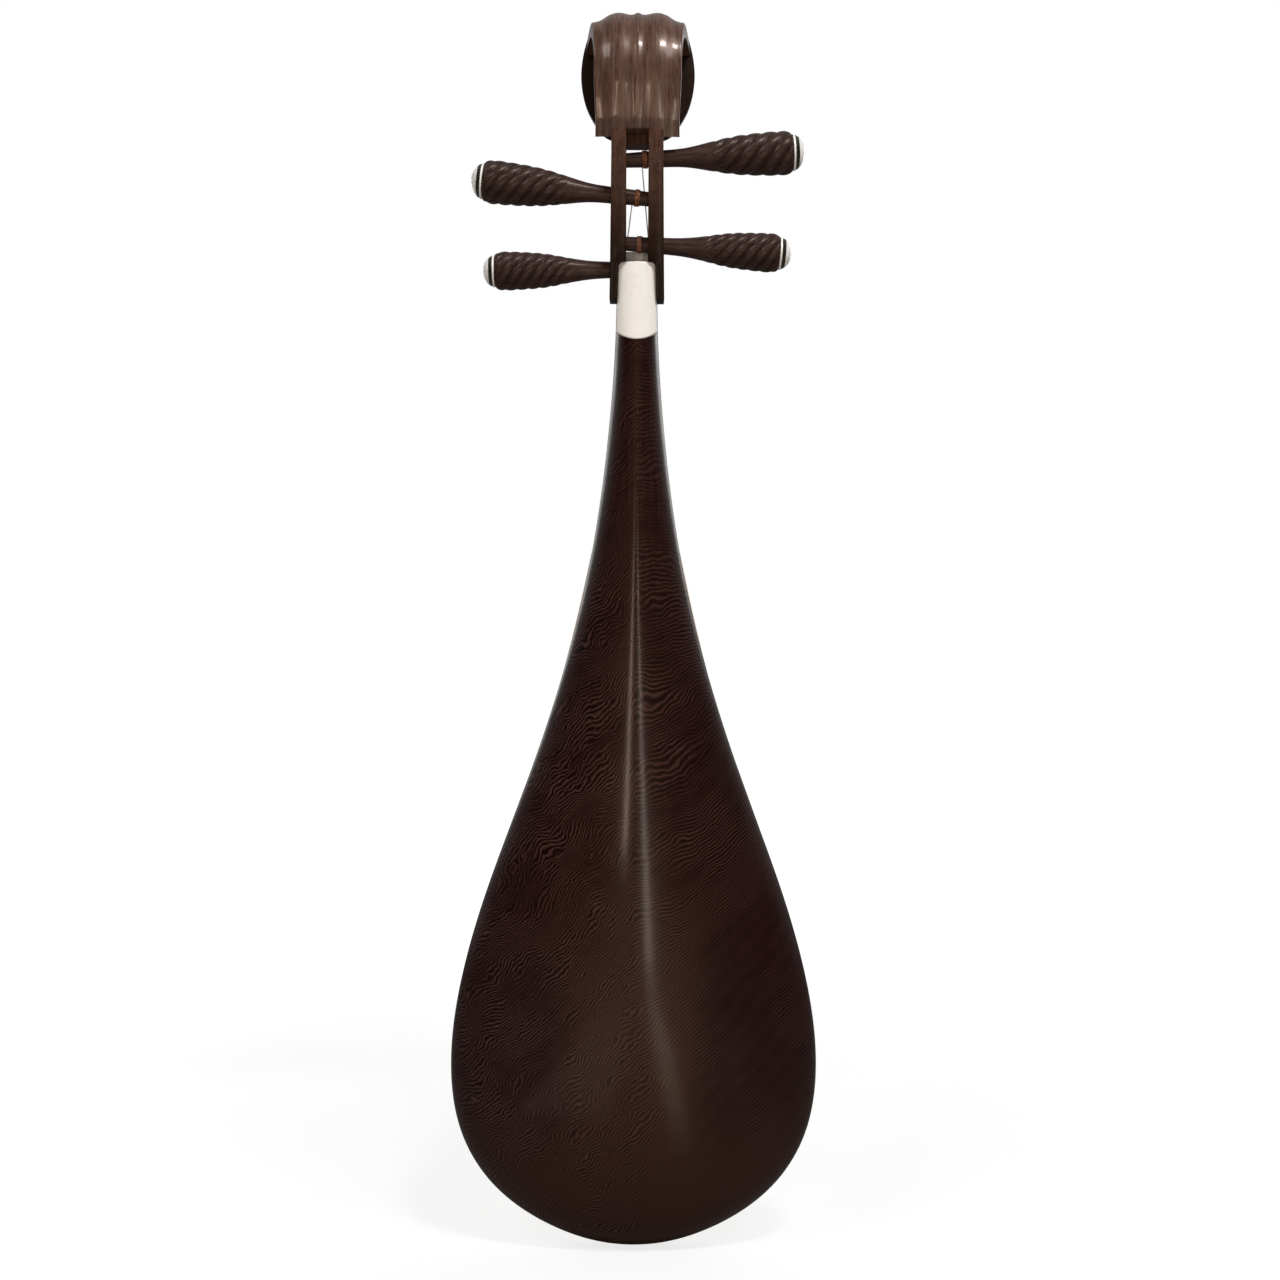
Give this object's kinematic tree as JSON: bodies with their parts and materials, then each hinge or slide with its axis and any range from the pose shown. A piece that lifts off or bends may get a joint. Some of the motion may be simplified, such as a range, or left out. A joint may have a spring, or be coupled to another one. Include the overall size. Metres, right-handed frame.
{
  "type": "pipa",
  "caption": "Pear-shaped lute with a carved dark back, fretted neck and soundboard, curled head and turning twist-fluted pegs.",
  "frame": {"origin": "tail end of the glue joint between the carved back and the soundboard, on the centre line", "axes": "+Z along the strings from the tail to the head, +Y out of the carved back, +X to the left of a viewer who looks at the back"},
  "size_m": [0.3046, 0.0981, 1.0142],
  "materials": {
    "back_wood": "satin",
    "pale_wood": "satin",
    "brace_wood": "matte",
    "bridge_wood": "satin",
    "bamboo": "satin",
    "bone": "polished",
    "string": "satin",
    "winding": "satin"
  },
  "bodies": {
    "body": {"body_shell": "back_wood", "soundboard": "pale_wood", "cross_braces": "brace_wood", "sound_posts": "brace_wood", "bridge": "bridge_wood", "nut": "bone", "heel_plate": "bone", "pegbox": "back_wood", "head_scroll": "back_wood", "head_inlay": "bone", "neck_fret_1": "bone", "neck_fret_2": "bone", "neck_fret_3": "bone", "neck_fret_4": "bone", "neck_fret_5": "bone", "neck_fret_6": "bone", "soundboard_fret_01": "bamboo", "soundboard_fret_02": "bamboo", "soundboard_fret_03": "bamboo", "soundboard_fret_04": "bamboo", "soundboard_fret_05": "bamboo", "soundboard_fret_06": "bamboo", "soundboard_fret_07": "bamboo", "soundboard_fret_08": "bamboo", "soundboard_fret_09": "bamboo", "soundboard_fret_10": "bamboo", "soundboard_fret_11": "bamboo", "soundboard_fret_12": "bamboo", "soundboard_fret_13": "bamboo", "soundboard_fret_14": "bamboo", "soundboard_fret_15": "bamboo", "soundboard_fret_16": "bamboo", "soundboard_fret_17": "bamboo", "soundboard_fret_18": "bamboo", "soundboard_fret_19": "bamboo", "soundboard_fret_20": "bamboo", "soundboard_fret_21": "bamboo", "soundboard_fret_22": "bamboo", "soundboard_fret_23": "bamboo", "soundboard_fret_24": "bamboo", "string_1": "string", "string_2": "string", "string_3": "string", "string_4": "string"},
    "tuning_peg_1": {"peg_1": "back_wood", "peg_1_ring": "bone", "peg_1_button": "bone", "string_1_winding": "winding"},
    "tuning_peg_2": {"peg_2": "back_wood", "peg_2_ring": "bone", "peg_2_button": "bone", "string_2_winding": "winding"},
    "tuning_peg_3": {"peg_3": "back_wood", "peg_3_ring": "bone", "peg_3_button": "bone", "string_3_winding": "winding"},
    "tuning_peg_4": {"peg_4": "back_wood", "peg_4_ring": "bone", "peg_4_button": "bone", "string_4_winding": "winding"}
  },
  "joints": [
    {"name": "peg_1_turn", "type": "hinge", "parent": "body", "child": "tuning_peg_1", "pos_m": [0, 0.04, 0.893], "axis": [-0.9987, 0, 0.0506], "continuous": true},
    {"name": "peg_2_turn", "type": "hinge", "parent": "body", "child": "tuning_peg_2", "pos_m": [0, 0.031, 0.8647], "axis": [0.9945, 0, 0.1045], "continuous": true},
    {"name": "peg_3_turn", "type": "hinge", "parent": "body", "child": "tuning_peg_3", "pos_m": [0, 0.02, 0.8296], "axis": [-0.9982, 0, -0.0593], "continuous": true},
    {"name": "peg_4_turn", "type": "hinge", "parent": "body", "child": "tuning_peg_4", "pos_m": [0, 0.0127, 0.8106], "axis": [0.9999, 0, -0.0157], "continuous": true}
  ]
}
